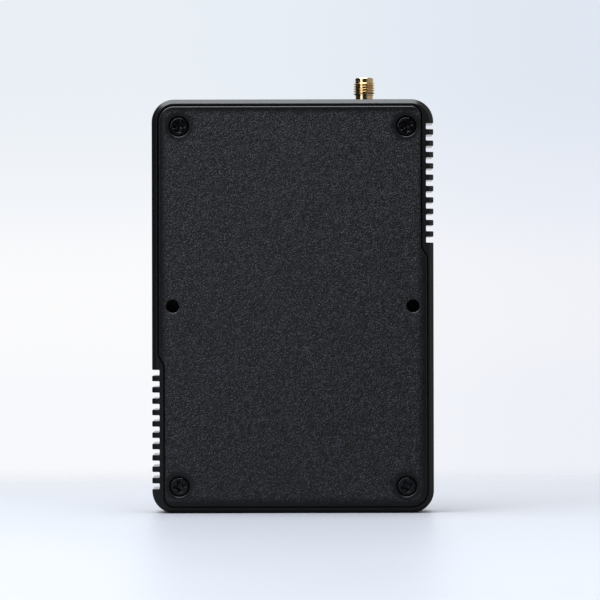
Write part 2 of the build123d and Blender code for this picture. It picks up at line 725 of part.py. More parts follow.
def heat_spreader():
    """The aluminium plate that spreads the amplifiers' heat and backs the antenna."""
    middle = (SPREADER_TOP + SPREADER_BOTTOM) / 2
    face = Pos(0, middle) * RectangleRounded(SPREADER_W, SPREADER_TOP - SPREADER_BOTTOM, SPREADER_ROUND)
    for x, y in spreader_posts():
        face -= Pos(x, y) * Circle(SMALL_SCREW_R + 0.25)
    for x, y in spacer_places():
        face -= Pos(x, y) * Circle(SPIGOT_HOLE_R)
    return slab(face, SPREADER_FRONT, SPREADER_BACK)


def thermal_pads():
    """Soft pads between the board and the heat spreader, under the power amplifiers."""
    pad = block(-PAD_W / 2, PAD_W / 2, -PAD_H / 2, PAD_H / 2, SPREADER_BACK, BOARD_FRONT)
    return Compound([Pos(*place) * pad for place in (AMPLIFIER_UP, AMPLIFIER_DOWN)])


def spacer_places():
    return [(i * SPACER_X, y) for i in (-1, 1) for y in (SPACER_TOP, SPACER_BOTTOM)]


def patch_spacers():
    """Nylon spacers between the heat spreader and the patch, each with a spigot into the plate."""
    pieces = []
    for x, y in spacer_places():
        spacer = rod(x, y, PATCH_BACK, SPREADER_FRONT, SPACER_R)
        spacer += rod(x, y, SPREADER_FRONT, SPREADER_BACK, SPIGOT_R)
        hole_end = PATCH_BACK + PATCH_SCREW_L + 0.2
        pieces.append(spacer - rod(x, y, PATCH_BACK - 1, hole_end, PATCH_SCREW_R + THREAD_GAP))
    return Compound(pieces)


def patch_radiator():
    """The indoor antenna's slotted patch."""
    middle = (PATCH_TOP + PATCH_BOTTOM) / 2
    face = Pos(0, middle) * RectangleRounded(PATCH_W, PATCH_TOP - PATCH_BOTTOM, PATCH_ROUND)
    for x in (-PATCH_SLOT_X, PATCH_SLOT_X):
        face -= Pos(x, PATCH_BOTTOM + PATCH_SLOT_L / 2) * Rectangle(PATCH_SLOT_W, PATCH_SLOT_L)
    for x, y in spacer_places():
        face -= Pos(x, y) * Circle(SPIGOT_HOLE_R)
    face -= Pos(0, FEED_Y) * Circle(FEED_R + 0.02)
    return slab(face, PATCH_FRONT, PATCH_BACK)


def patch_screws():
    """Nylon screws through the patch into its spacers."""
    screws = []
    for x, y in spacer_places():
        head = rod(x, y, PATCH_FRONT - PATCH_HEAD_H, PATCH_FRONT, PATCH_HEAD_R)
        head = fillet(head.edges().sort_by(Axis.Z)[0], PATCH_HEAD_ROUND)
        screws.append(head + rod(x, y, PATCH_FRONT, PATCH_BACK + PATCH_SCREW_L, PATCH_SCREW_R))
    return Compound(screws)


def patch_feed():
    """The pin that carries the signal from the coaxial lead to the patch."""
    pin = rod(0, FEED_Y, PATCH_FRONT - FEED_STANDS, SPREADER_FRONT - FEED_GAP, FEED_R)
    return chamfer(pin.edges().sort_by(Axis.Z)[0], FEED_EDGE)


def coax_lead():
    """The thin coaxial lead, from its plug down in front of the spreader to the feed pin."""
    bend = PLUG_EXIT + LEAD_START_L
    points = [(0, PLUG_EXIT, PLUG_Z), (0, bend, PLUG_Z)]
    points += [(0, bend + LEAD_SLOPE_L, LEAD_FRONT_Z), (0, FEED_Y - FEED_R, LEAD_FRONT_Z)]
    path = FilletPolyline(*points, radius=LEAD_BEND_R)
    start = Plane(origin=points[0], z_dir=(0, 1, 0))
    return sweep(start * Circle(LEAD_R), path=path)


def coax_socket():
    """The little snap socket on the front of the board that the lead plugs into."""
    half = SOCKET_W / 2
    top = BOARD_FRONT - SOCKET_T
    base = block(-half, half, PLUG_Y - half, PLUG_Y + half, top, BOARD_FRONT)
    ring = rod(0, PLUG_Y, BOARD_FRONT - SOCKET_H, BOARD_FRONT, SOCKET_R)
    ring -= rod(0, PLUG_Y, BOARD_FRONT - SOCKET_H - 1, top, SOCKET_BORE_R)
    return base + ring + rod(0, PLUG_Y, BOARD_FRONT - SOCKET_H + 0.1, top, SOCKET_PIN_R)


def coax_plug():
    """The right-angle snap plug on the coaxial lead."""
    cap = rod(0, PLUG_Y, BOARD_FRONT - PLUG_H, BOARD_FRONT - SOCKET_T - THREAD_GAP, PLUG_R)
    low = PLUG_Z - FERRULE_H / 2
    ferrule = block(-FERRULE_W / 2, FERRULE_W / 2, PLUG_Y, PLUG_EXIT, low, low + FERRULE_H)
    ferrule = fillet(ferrule.edges().filter_by(Axis.Y), FERRULE_ROUND)
    return cap + ferrule - rod(0, PLUG_Y, PLUG_ROOF_Z, BOARD_FRONT, PLUG_BORE_R)


def main():
    os.makedirs("parts", exist_ok=True)
    write_part("front_shell", front_shell())
    write_part("back_cover", back_cover())
    write_part("case_screws", case_screws())
    write_part("main_board", main_board())
    write_part("board_screws", board_screws())
    write_part("uplink_shield_fence", fence(-CAN_X))
    write_part("downlink_shield_fence", fence(CAN_X))
    write_part("uplink_shield_lid", can_lid(-CAN_X))
    write_part("downlink_shield_lid", can_lid(CAN_X))
    write_part("donor_duplexer", filter_block(DONOR_DUPLEXER))
    write_part("server_duplexer", filter_block(SERVER_DUPLEXER))
    write_part("uplink_power_amplifier", chip(AMPLIFIER_UP, 5, 5, 1.0))
    write_part("downlink_power_amplifier", chip(AMPLIFIER_DOWN, 5, 5, 1.0))
    write_part("uplink_low_noise_amplifier", chip(LOW_NOISE_UP, 3, 3, 0.9))
    write_part("downlink_low_noise_amplifier", chip(LOW_NOISE_DOWN, 3, 3, 0.9))
    saws = [chip((i * CAN_X, y), 3.8, 3.8, 1.3) for i in (-1, 1) for y in SAW_Y]
    write_part("saw_filters", Compound(saws))
    gain_chips = [chip((i * GAIN_X, GAIN_Y), 4, 4, 0.9) for i in (-1, 1)]
    write_part("gain_control_chips", Compound(gain_chips))
    write_part("controller_chip", leaded_chip(CONTROLLER, 7, 1.4, 8))
    write_part("clock_crystal", chip(CRYSTAL, 3.2, 2.5, 0.8))
    write_part("voltage_regulator", chip(REGULATOR, 5, 4, 1.5, side=-1))
    write_part("power_inductor", power_inductor())
    can = bulk_capacitor()
    write_part("bulk_capacitors", Compound([Pos(*place, BOARD_FRONT) * can for place in BULK_CAPACITORS]))
    capacitors = small_places(CAPACITOR_X, CAPACITOR_PITCH, CAPACITOR_ROWS)
    write_part("chip_capacitors", small_parts(capacitors, SMALL_CAPACITOR_H))
    resistors = small_places(RESISTOR_X, RESISTOR_PITCH, range(RESISTOR_ROWS))
    write_part("chip_resistors", small_parts(resistors, SMALL_RESISTOR_H))
    write_part("antenna_jack_body", jack_body())
    write_part("antenna_jack_insulator", jack_insulator())
    write_part("antenna_jack_contact", jack_contact())
    write_part("power_jack_housing", power_housing())
    write_part("power_jack_pin", power_pin())
    write_part("power_jack_spring", power_spring())
    write_part("status_leds", status_leds())
    write_part("light_pipe", light_pipe())
    write_part("heat_spreader", heat_spreader())
    write_part("spreader_screws", spreader_screws())
    write_part("thermal_pads", thermal_pads())
    write_part("patch_radiator", patch_radiator())
    write_part("patch_spacers", patch_spacers())
    write_part("patch_screws", patch_screws())
    write_part("patch_feed_pin", patch_feed())
    write_part("coax_lead", coax_lead())
    write_part("coax_socket", coax_socket())
    write_part("coax_plug", coax_plug())


main()
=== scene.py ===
"""Looks of the signal booster, laid out as an add-on with one operator for each group of pieces."""

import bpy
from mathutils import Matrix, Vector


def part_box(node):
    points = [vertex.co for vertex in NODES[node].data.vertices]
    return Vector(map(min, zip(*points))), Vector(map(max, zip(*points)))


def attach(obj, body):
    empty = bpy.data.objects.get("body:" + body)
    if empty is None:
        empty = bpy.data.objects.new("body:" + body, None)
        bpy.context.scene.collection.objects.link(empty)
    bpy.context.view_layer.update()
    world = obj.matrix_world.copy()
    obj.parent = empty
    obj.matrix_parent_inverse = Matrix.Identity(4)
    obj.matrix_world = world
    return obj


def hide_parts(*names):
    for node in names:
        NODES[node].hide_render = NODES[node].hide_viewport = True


bl_info = {
    "name": "Signal booster looks",
    "version": (1, 0, 0),
    "blender": (4, 5, 0),
    "location": "View3D > Sidebar > Booster",
    "description": "Finishes and fine pieces for a small cellular signal booster",
    "category": "Object",
}

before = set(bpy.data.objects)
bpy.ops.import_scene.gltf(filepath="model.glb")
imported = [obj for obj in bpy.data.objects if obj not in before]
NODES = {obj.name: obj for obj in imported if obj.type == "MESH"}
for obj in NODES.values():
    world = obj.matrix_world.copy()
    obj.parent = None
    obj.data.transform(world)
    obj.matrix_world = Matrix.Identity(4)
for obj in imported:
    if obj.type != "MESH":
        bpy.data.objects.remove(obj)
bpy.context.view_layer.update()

import math

import bmesh
import bpy
from mathutils import Matrix, Vector

MM = 0.001
BODY = "root"

CASE_LOW, CASE_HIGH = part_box("front_shell")
COVER_LOW, COVER_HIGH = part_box("back_cover")
JACK_LOW, JACK_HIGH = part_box("antenna_jack_body")
SCREWS_LOW, SCREWS_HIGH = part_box("case_screws")
CASE_MIDDLE = (CASE_LOW + CASE_HIGH) / 2

# Sizes below are in millimetres and angles in degrees, unless a line says otherwise.
JACK_AXIS = (JACK_LOW + JACK_HIGH) / 2 / MM
MERGE_GAP = 0.0005
FLAT_ANGLE = 1.0
SHARP_ANGLE = 28.0
SCREW_HEAD_R = 2.5
SCREW_ROUNDING = 0.12
COVER_ROUNDING = 0.09


# ---------------------------------------------------------------- shader sums


class Wire:
    """One output socket of a material, which sums can be written with."""

    def __init__(self, paint, socket):
        self.paint = paint
        self.socket = socket

    def math(self, operation, first, second=0.0):
        made = self.paint.node("ShaderNodeMath", {"operation": operation}, {0: first, 1: second})
        return made["Value"]

    def __add__(self, other):
        return self.math("ADD", self, other)

    def __radd__(self, other):
        return self.math("ADD", other, self)

    def __sub__(self, other):
        return self.math("SUBTRACT", self, other)

    def __rsub__(self, other):
        return self.math("SUBTRACT", other, self)

    def __mul__(self, other):
        return self.math("MULTIPLY", self, other)

    def __rmul__(self, other):
        return self.math("MULTIPLY", other, self)

    def __pow__(self, other):
        return self.math("POWER", self, other)

    def __gt__(self, other):
        return self.math("GREATER_THAN", self, other)

    def __lt__(self, other):
        return self.math("LESS_THAN", self, other)

    def __abs__(self):
        return self.math("ABSOLUTE", self)

    def low(self, other):
        return self.math("MINIMUM", self, other)

    def high(self, other):
        return self.math("MAXIMUM", self, other)

    def wave(self):
        return self.math("SINE", self)

    def root(self):
        return self.math("SQRT", self)

    def repeat(self, length):
        return self.math("MODULO", self.math("MODULO", self, length) + length, length)


class Made:
    """A node just made, whose outputs are asked for by name or number."""

    def __init__(self, paint, node):
        self.paint = paint
        self.inner = node

    def __getitem__(self, key):
        return Wire(self.paint, self.inner.outputs[key])


class Sheet:
    """A node tree under way. Every node in it comes from one method."""

    def __init__(self, tree):
        self.tree = tree

    def feed(self, node, values):
        """Give sockets their values or links. Underscores in a name stand for spaces."""
        for key, value in values.items():
            socket = node.inputs[key.replace("_", " ") if isinstance(key, str) else key]
            if isinstance(value, Wire):
                self.tree.links.new(value.socket, socket)
            elif hasattr(socket.default_value, "__len__") and len(socket.default_value) == 4:
                socket.default_value = (*value[:3], 1.0)
            else:
                socket.default_value = value

    def node(self, kind, settings=None, values=None):
        """Any node: its kind, then its settings, then its sockets."""
        node = self.tree.nodes.new(kind)
        for key, value in (settings or {}).items():
            setattr(node, key, value)
        self.feed(node, values or {})
        return Made(self, node)

    def split(self, vector):
        """The three numbers of a vector."""
        parts = self.node("ShaderNodeSeparateXYZ", None, {0: vector})
        return parts["X"], parts["Y"], parts["Z"]

    def step(self, value, low, high):
        """0 below low, 1 above high, smooth between."""
        settings = {"interpolation_type": "SMOOTHSTEP"}
        values = {"Value": value, "From Min": low, "From Max": high, "To Min": 0.0, "To Max": 1.0}
        return self.node("ShaderNodeMapRange", settings, values)["Result"]

    def mix(self, share, first, second):
        """One colour turning into another."""
        return self.node("ShaderNodeMix", {"data_type": "RGBA"}, {0: share, 6: first, 7: second})[2]


class Paint(Sheet):
    """A material under way: a Principled shader, and the nodes that feed it."""

    def __init__(self, name, **shader):
        self.material = bpy.data.materials.new(name)
        self.material.use_nodes = True
        super().__init__(self.material.node_tree)
        self.tree.nodes.clear()
        self.shader = self.tree.nodes.new("ShaderNodeBsdfPrincipled")
        output = self.tree.nodes.new("ShaderNodeOutputMaterial")
        self.tree.links.new(self.shader.outputs["BSDF"], output.inputs["Surface"])
        self.feed(self.shader, shader)

    def set(self, **values):
        self.feed(self.shader, values)

    def place(self):
        """Object coordinates in millimetres."""
        at = self.node("ShaderNodeTexCoord")["Object"]
        return self.node("ShaderNodeVectorMath", {"operation": "SCALE"}, {0: at, "Scale": 1 / MM})["Vector"]

    def axes(self):
        """Object coordinates in millimetres, one wire for each axis."""
        return self.split(self.place())

    def facing(self):
        """How far the surface faces along each axis."""
        return self.split(self.node("ShaderNodeNewGeometry")["Normal"])

    def noise(self, size, detail=2.0, roughness=0.5, stretch=None):
        """Cloudy noise whose grains are about size millimetres, stretched along the axes."""
        at = self.place()
        if stretch:
            at = self.node("ShaderNodeVectorMath", {"operation": "MULTIPLY"}, {0: at, 1: stretch})["Vector"]
        values = {"Vector": at, "Scale": 1.0 / size, "Detail": detail, "Roughness": roughness}
        return self.node("ShaderNodeTexNoise", None, values)["Fac"]

    def cells(self, size, feature="F1", randomness=1.0):
        """Distance to the nearest cell point, the cells being about size millimetres."""
        values = {"Vector": self.place(), "Scale": 1.0 / size, "Randomness": randomness}
        return self.node("ShaderNodeTexVoronoi", {"feature": feature}, values)["Distance"]

    def relief(self, height, depth, strength=1.0):
        """A bump of the given depth in millimetres, into the shader's Normal."""
        values = {"Height": height, "Distance": depth * MM, "Strength": strength}
        self.set(Normal=self.node("ShaderNodeBump", None, values)["Normal"])


def times(colour, factor):
    """A colour made lighter or darker."""
    return tuple(min(1.0, part * factor) for part in colour)


def tinted(colour, shares):
    """A colour with each of its three parts scaled."""
    return tuple(part * share for part, share in zip(colour, shares))


def finish_node(name, material):
    """Give a CAD node its finish."""
    piece = NODES[name]
    piece.data.materials.clear()
    piece.data.materials.append(material)


def new_piece(name, mesh, material, node):
    """A piece of the object's own, standing for a CAD node."""
    mesh.materials.clear()
    mesh.materials.append(material)
    piece = bpy.data.objects.new(name, mesh)
    bpy.context.scene.collection.objects.link(piece)
    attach(piece, BODY)
    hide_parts(node)
    return piece


def smoothed(node, material, rounding=0.0, worn=None):
    """A merged copy of a CAD node, in its place, whose rounded edges shade smoothly.

    Its sharp edges are rounded over by rounding millimetres, and take the worn finish if there is one.
    """
    sharp_turn = math.radians(SHARP_ANGLE)
    mesh = NODES[node].data.copy()
    shape = bmesh.new()
    shape.from_mesh(mesh)
    bmesh.ops.remove_doubles(shape, verts=shape.verts, dist=MERGE_GAP * MM)
    if rounding:
        bmesh.ops.dissolve_limit(shape, angle_limit=math.radians(FLAT_ANGLE), verts=shape.verts,
                                 edges=shape.edges)
        sharp = [e for e in shape.edges if e.calc_face_angle(0.0) > sharp_turn]
        made = bmesh.ops.bevel(shape, geom=sharp, offset=rounding * MM, segments=2, affect="EDGES",
                               profile=0.5, material=-1)
        for face in made["faces"]:
            face.material_index = 1 if worn else 0
    for face in shape.faces:
        face.smooth = True
    for edge in shape.edges:
        edge.smooth = edge.is_manifold and edge.calc_face_angle(math.pi) < sharp_turn
    shape.to_mesh(mesh)
    shape.free()
    piece = new_piece(f"{node}_smooth", mesh, material, node)
    if worn:
        mesh.materials.append(worn)
    weighted = piece.modifiers.new("even shading", "WEIGHTED_NORMAL")
    weighted.keep_sharp = True
    weighted.weight = 100


# ---------------------------------------------------------------- settings


class BoosterCaseSettings(bpy.types.PropertyGroup):
    """Colours, grain and painted glints of the case."""

    shell_colour: bpy.props.FloatVectorProperty(
        name="Shell colour", description="Colour of the front shell's plastic",
        subtype="COLOR", size=3, default=(0.0030, 0.0032, 0.0040), min=0.0, max=1.0)
    cover_colour: bpy.props.FloatVectorProperty(
        name="Cover colour", description="Colour of the back cover's plastic",
        subtype="COLOR", size=3, default=(0.0040, 0.0043, 0.0056), min=0.0, max=1.0)
    grain: bpy.props.FloatProperty(
        name="Grain", description="Size of one spark-eroded grain on the cover, in millimetres",
        default=0.38, min=0.1, max=3.0)
    grain_depth: bpy.props.FloatProperty(
        name="Grain depth", description="Depth of the cover's grain, in millimetres",
        default=0.22, min=0.0, max=0.5)
    # The crests are painted lighter than the cover's colour: painted glints that stand in for the sparkle
    # of the grain.
    glint_speck: bpy.props.FloatProperty(
        name="Specks", description="How much lighter the cover's crests are than its colour",
        default=10.5, min=1.0, max=20.0)
    screw_colour: bpy.props.FloatVectorProperty(
        name="Screw colour", description="Colour of the blackened screws",
        subtype="COLOR", size=3, default=(0.045, 0.046, 0.052), min=0.0, max=1.0)


class BoosterJackSettings(bpy.types.PropertyGroup):
    """Sizes and colours of the antenna jack."""

    gold_colour: bpy.props.FloatVectorProperty(
        name="Gold", description="Colour of the gold plate",
        subtype="COLOR", size=3, default=(0.76, 0.62, 0.40), min=0.0, max=1.0)
    thread_pitch: bpy.props.FloatProperty(
        name="Thread pitch", description="Distance between two crests of the thread, in millimetres",
        default=25.4 / 36, min=0.2, max=2.0)
    thread_depth: bpy.props.FloatProperty(
        name="Thread depth", description="From crest to root, in millimetres",
        default=0.48, min=0.05, max=0.5)
    lead_in: bpy.props.FloatProperty(
        name="Lead-in", description="Plain length at the jack's tip, in millimetres",
        default=1.0, min=0.2, max=2.0)
    thread_length: bpy.props.FloatProperty(
        name="Thread length", description="Threaded length, in millimetres", default=3.95, min=1.0, max=6.0)


class BoosterStageSettings(bpy.types.PropertyGroup):
    """Floor, lights and camera."""

    floor_colour: bpy.props.FloatVectorProperty(
        name="Floor", description="Colour of the floor", subtype="COLOR", size=3,
        default=(0.485, 0.495, 0.535), min=0.0, max=1.0)
    backdrop_colour: bpy.props.FloatVectorProperty(
        name="Backdrop", description="Colour of the backdrop", subtype="COLOR", size=3,
        default=(0.935, 0.945, 0.972), min=0.0, max=1.0)
    camera_distance: bpy.props.FloatProperty(
        name="Camera distance", description="From the back cover to the camera",
        subtype="DISTANCE", unit="LENGTH", default=1.4, min=0.3, max=5.0)
    field_width: bpy.props.FloatProperty(
        name="Field width", description="Width that the camera sees at the back cover",
        subtype="DISTANCE", unit="LENGTH", default=0.1702, min=0.05, max=1.0)
    top_light: bpy.props.FloatProperty(
        name="Top light", description="Radiance of the softbox overhead", default=5.8, min=0.0, max=100.0)
    side_light: bpy.props.FloatProperty(
        name="Side light", description="Radiance of the softbox left of the camera",
        default=2.3, min=0.0, max=100.0)


# ---------------------------------------------------------------- case


def cover_plastic(settings):
    """Black plastic off a spark-eroded mould: pits, smoother at the edges and screws, and painted glints as
    light specks on the crests.
    """
    paint = Paint("cover_plastic", Specular_IOR_Level=0.42)
    x, _, z = paint.axes()
    across = abs(x - CASE_MIDDLE.x / MM)
    up = abs(z - CASE_MIDDLE.z / MM)
    half = (COVER_HIGH - COVER_LOW) / 2 / MM
    screw = (SCREWS_HIGH - SCREWS_LOW) / 2 / MM - Vector((SCREW_HEAD_R, 0.0, SCREW_HEAD_R))
    edge = (half.x - across).low(half.z - up)
    well = ((across - screw.x) ** 2.0 + (up - screw.z) ** 2.0).root() - SCREW_HEAD_R
    plain = paint.step(edge.low(well), 0.4, 2.8)
    fine = paint.noise(settings.grain, 2.0, 0.6)
    coarse = paint.noise(settings.grain * 4.0, 2.0, 0.5)
    pits = paint.cells(settings.grain * 1.6)
    rough = plain * 0.88 + 0.12
    paint.relief((fine * 0.7 + coarse * 0.4 - pits * 0.3) * rough, settings.grain_depth)
    # Painted glints: light specks on the crests of the grain, fading out where the grain fades.
    glint_speck = paint.step(fine + coarse * 0.22 - pits * 0.20, 0.50, 0.68) * rough
    cloud = paint.noise(16.0, 2.0) - 0.5
    dark = tuple(settings.cover_colour)
    paint.set(Base_Color=paint.mix(glint_speck, times(dark, 0.35), times(dark, settings.glint_speck)))
    paint.set(Roughness=0.33 + plain * 0.05 - glint_speck * 0.10 + cloud * 0.06)
    return paint.material


def shell_plastic(settings):
    """Black satin plastic; the comb's slots are smooth, as steel blades in the mould leave them."""
    paint = Paint("shell_plastic", Specular_IOR_Level=0.5)
    _, _, up = paint.facing()
    blade = paint.step(abs(up), 0.9, 0.99)
    fine = paint.noise(0.30, 3.0, 0.6)
    cloud = paint.noise(18.0, 2.0) - 0.5
    paint.relief(fine, 0.012)
    dark = tuple(settings.shell_colour)
    paint.set(Base_Color=paint.mix(paint.step(fine, 0.35, 0.75), times(dark, 0.8), times(dark, 2.0)))
    paint.set(Roughness=0.32 - blade * 0.16 + cloud * 0.06 + (fine - 0.5) * 0.08)
    return paint.material


def black_steel(settings):
    """Blackened steel, a little browner and rougher in patches."""
    paint = Paint("black_steel", Metallic=1.0)
    cloud = paint.noise(0.9, 3.0)
    scratch = paint.noise(0.12, 2.0, 0.5, stretch=(1.0, 1.0, 0.15))
    dark = tuple(settings.screw_colour)
    brown = tinted(dark, (1.4, 1.3, 1.2))
    paint.set(Base_Color=paint.mix(paint.step(cloud, 0.4, 0.7), dark, brown))
    paint.set(Roughness=0.21 + (cloud - 0.5) * 0.12 + (scratch - 0.5) * 0.10)
    paint.relief(cloud + scratch * 0.4, 0.008, 0.6)
    return paint.material


def worn_steel(settings):
    """Edges of the screws where the blacking has rubbed through."""
    paint = Paint("worn_black_steel", Metallic=1.0)
    rub = paint.noise(0.35, 3.0)
    dark = tuple(settings.screw_colour)
    paint.set(Base_Color=paint.mix(paint.step(rub, 0.35, 0.65), times(dark, 4.0), times(dark, 8.0)))
    paint.set(Roughness=0.30 + (rub - 0.5) * 0.16)
    return paint.material


class BoosterCase(bpy.types.Operator):
    """Finish the two halves of the case and its screws."""

    bl_idname = "booster.case"
    bl_label = "Case"

    def execute(self, context):
        settings = context.scene.booster_case
        smoothed("front_shell", shell_plastic(settings))
        smoothed("back_cover", cover_plastic(settings), rounding=COVER_ROUNDING)
        smoothed("case_screws", black_steel(settings), rounding=SCREW_ROUNDING,
                 worn=worn_steel(settings))
        return {"FINISHED"}


# ---------------------------------------------------------------- antenna jack

THREAD_STEPS = 72
FLANGE_HALF = (JACK_HIGH.x - JACK_LOW.x) / 2 / MM
THREAD_R = FLANGE_HALF - 0.05
NECK_R = 2.57
LEAD_R = 2.65
LEAD_EDGE = 0.15
MOUTH_R = 2.32
MOUTH_DEPTH = 1.9
BORE_R = 2.05
NECK_L = 4.6
NECK_STEP = 0.1
FLANGE_T = 1.7
FLANGE_EDGE = 0.1
LEG_W = 1.0
LEG_EDGE = 0.06
LEG_SINK = 0.01
LEG_SPAN = ((-3.1, -2.0), (-0.4, 0.7))
LEVEL_GAP = 0.001
JACK_SHARP_ANGLE = 24.0

# Where the thread's section turns, as shares of the pitch; then how far its crest is eased, and how
# steeply the thread runs out at each end.
ROOT_END, FLANK_END, CREST_START, CREST_END, FLANK_START, ROOT_START = 0.12, 0.43, 0.47, 0.53, 0.57, 0.88
CREST_EASE = 0.03
RUN_OUT = 1.2


def gold_plate(settings):
    """Bright gold plate over turned brass, redder where it is worn thin."""
    paint = Paint("gold_plate", Metallic=1.0)
    turned = paint.noise(0.08, 2.0, 0.5, stretch=(0.05, 0.05, 1.0))
    cloud = paint.noise(1.2, 3.0)
    gold = tuple(settings.gold_colour)
    red = tinted(gold, (0.96, 0.82, 0.66))
    paint.set(Base_Color=paint.mix(paint.step(cloud, 0.42, 0.75), gold, red))
    paint.set(Roughness=0.16 + (cloud - 0.5) * 0.10 + (turned - 0.5) * 0.08)
    paint.relief(turned, 0.003, 0.5)
    return paint.material


def white_insulator():
    """White fluoropolymer, waxy and faintly turned."""
    paint = Paint("white_insulator", Subsurface_Weight=0.15, Subsurface_Scale=0.4 * MM)
    turned = paint.noise(0.09, 2.0, 0.5, stretch=(0.1, 0.1, 1.0))
    cloud = paint.noise(0.9, 2.0)
    paint.set(Base_Color=paint.mix(cloud, (0.80, 0.79, 0.75), (0.88, 0.87, 0.84)))
    paint.set(Roughness=0.42 + (turned - 0.5) * 0.15)
    paint.relief(turned, 0.005, 0.6)
    return paint.material


def grow_loop(shape, edges, place):
    """Extrude a boundary loop and move each new vertex to place(vertex)."""
    made = bmesh.ops.extrude_edge_only(shape, edges=edges)["geom"]
    for vertex in (part for part in made if isinstance(part, bmesh.types.BMVert)):
        vertex.co = place(vertex.co)
    return [part for part in made if isinstance(part, bmesh.types.BMEdge)]


def at_radius(radius, height):
    """A mover that puts a vertex on a circle, keeping its direction from the axis."""
    def place(spot):
        flat = Vector((spot.x, spot.y, 0.0)).normalized() * radius
        return Vector((flat.x, flat.y, height))
    return place


def on_square(half, height):
    """A mover that puts a vertex on a square with the given half-width."""
    def place(spot):
        flat = Vector((spot.x, spot.y, 0.0))
        flat *= half / max(abs(flat.x), abs(flat.y))
        return Vector((flat.x, flat.y, height))
    return place


def rim_of(shape, height):
    """The boundary edges that lie at one height."""
    return [e for e in shape.edges
            if e.is_boundary and all(abs(v.co.z - height) < LEVEL_GAP for v in e.verts)]


def threaded_body(settings):
    """The jack's body in millimetres: a true helical thread, joined to the neck, flange and bore."""
    tip = JACK_HIGH.z / MM
    top = tip - settings.lead_in
    foot = top - settings.thread_length
    face = foot - NECK_L
    root = face - FLANGE_T
    pitch = settings.thread_pitch
    low_r = THREAD_R - settings.thread_depth
    eased_r = THREAD_R - CREST_EASE
    section = ((low_r, 0.0), (low_r, ROOT_END), (eased_r, FLANK_END), (THREAD_R, CREST_START),
               (THREAD_R, CREST_END), (eased_r, FLANK_START), (low_r, ROOT_START), (low_r, 1.0))
    turns = int(settings.thread_length / pitch) + 3
    shape = bmesh.new()
    spots = [shape.verts.new((radius, 0.0, foot - 1.5 * pitch + up * pitch)) for radius, up in section]
    line = [shape.edges.new(pair) for pair in zip(spots, spots[1:])]
    bmesh.ops.spin(shape, geom=spots + line, cent=(0, 0, 0), axis=(0, 0, 1), angle=2 * math.pi * turns,
                   steps=THREAD_STEPS * turns, dvec=(0, 0, pitch / THREAD_STEPS), use_merge=False)
    bmesh.ops.remove_doubles(shape, verts=shape.verts, dist=MERGE_GAP)
    for height, outer in ((top, True), (foot, False)):
        bmesh.ops.bisect_plane(shape, geom=shape.verts[:] + shape.edges[:] + shape.faces[:],
                               dist=MERGE_GAP, plane_co=(0, 0, height), plane_no=(0, 0, 1),
                               clear_outer=outer, clear_inner=not outer)
    for vertex in shape.verts:
        most = LEAD_R + min(top - vertex.co.z, vertex.co.z - foot) * RUN_OUT
        radius = math.hypot(vertex.co.x, vertex.co.y)
        if radius > most:
            vertex.co.x *= most / radius
            vertex.co.y *= most / radius
    edges = rim_of(shape, top)
    for radius, height in ((LEAD_R, top), (LEAD_R, tip - LEAD_EDGE), (LEAD_R - LEAD_EDGE, tip),
                           (MOUTH_R, tip), (MOUTH_R, tip - MOUTH_DEPTH), (BORE_R, tip - MOUTH_DEPTH),
                           (BORE_R, root)):
        edges = grow_loop(shape, edges, at_radius(radius, height))
    inner = edges
    edges = rim_of(shape, foot)
    edges = [e for e in edges if e not in inner]
    for radius, height in ((NECK_R, foot - NECK_STEP), (NECK_R, face)):
        edges = grow_loop(shape, edges, at_radius(radius, height))
    for half, height in ((FLANGE_HALF - FLANGE_EDGE, face), (FLANGE_HALF, face - FLANGE_EDGE),
                         (FLANGE_HALF, root)):
        edges = grow_loop(shape, edges, on_square(half, height))
    edges = grow_loop(shape, edges, at_radius(BORE_R, root))
    bmesh.ops.bridge_loops(shape, edges=rim_of(shape, root))
    bmesh.ops.remove_doubles(shape, verts=shape.verts, dist=MERGE_GAP)
    bmesh.ops.recalc_face_normals(shape, faces=shape.faces)
    return shape, root


def jack_mesh(settings):
    """The whole plated body in its place, with its four legs."""
    shape, root = threaded_body(settings)
    length = root - JACK_LOW.z / MM
    for side in (-1, 1):
        for low, high in LEG_SPAN:
            made = bmesh.ops.create_cube(shape, size=1.0)["verts"]
            size = (LEG_W, high - low, length + 2 * LEG_SINK)
            bmesh.ops.scale(shape, verts=made, vec=size)
            spot = (side * (FLANGE_HALF - LEG_W / 2), (low + high) / 2, root - length / 2 + LEG_SINK)
            bmesh.ops.translate(shape, verts=made, vec=spot)
            edges = {edge for vertex in made for edge in vertex.link_edges}
            bmesh.ops.bevel(shape, geom=list(edges), offset=LEG_EDGE, segments=2, affect="EDGES",
                            profile=0.5, material=-1)
    place = Matrix.Scale(MM, 4) @ Matrix.Translation((JACK_AXIS.x, JACK_AXIS.y, 0.0))
    bmesh.ops.transform(shape, matrix=place, verts=shape.verts)
    for face in shape.faces:
        face.smooth = True
    for edge in shape.edges:
        edge.smooth = edge.calc_face_angle(math.pi) < math.radians(JACK_SHARP_ANGLE)
    mesh = bpy.data.meshes.new("antenna_jack_body_threaded")
    shape.to_mesh(mesh)
    shape.free()
    return mesh


class BoosterJack(bpy.types.Operator):
    """Make the antenna jack's threaded body, and finish what is inside it."""

    bl_idname = "booster.jack"
    bl_label = "Antenna jack"

    def execute(self, context):
        settings = context.scene.booster_jack
        gold = gold_plate(settings)
        body = jack_mesh(settings)
        new_piece("antenna_jack_body_threaded", body, gold, "antenna_jack_body")
        finish_node("antenna_jack_contact", gold)
        finish_node("antenna_jack_insulator", white_insulator())
        for name in ("patch_feed_pin", "coax_socket", "coax_plug"):
            finish_node(name, gold)
        return {"FINISHED"}


# ---------------------------------------------------------------- power jack and lights


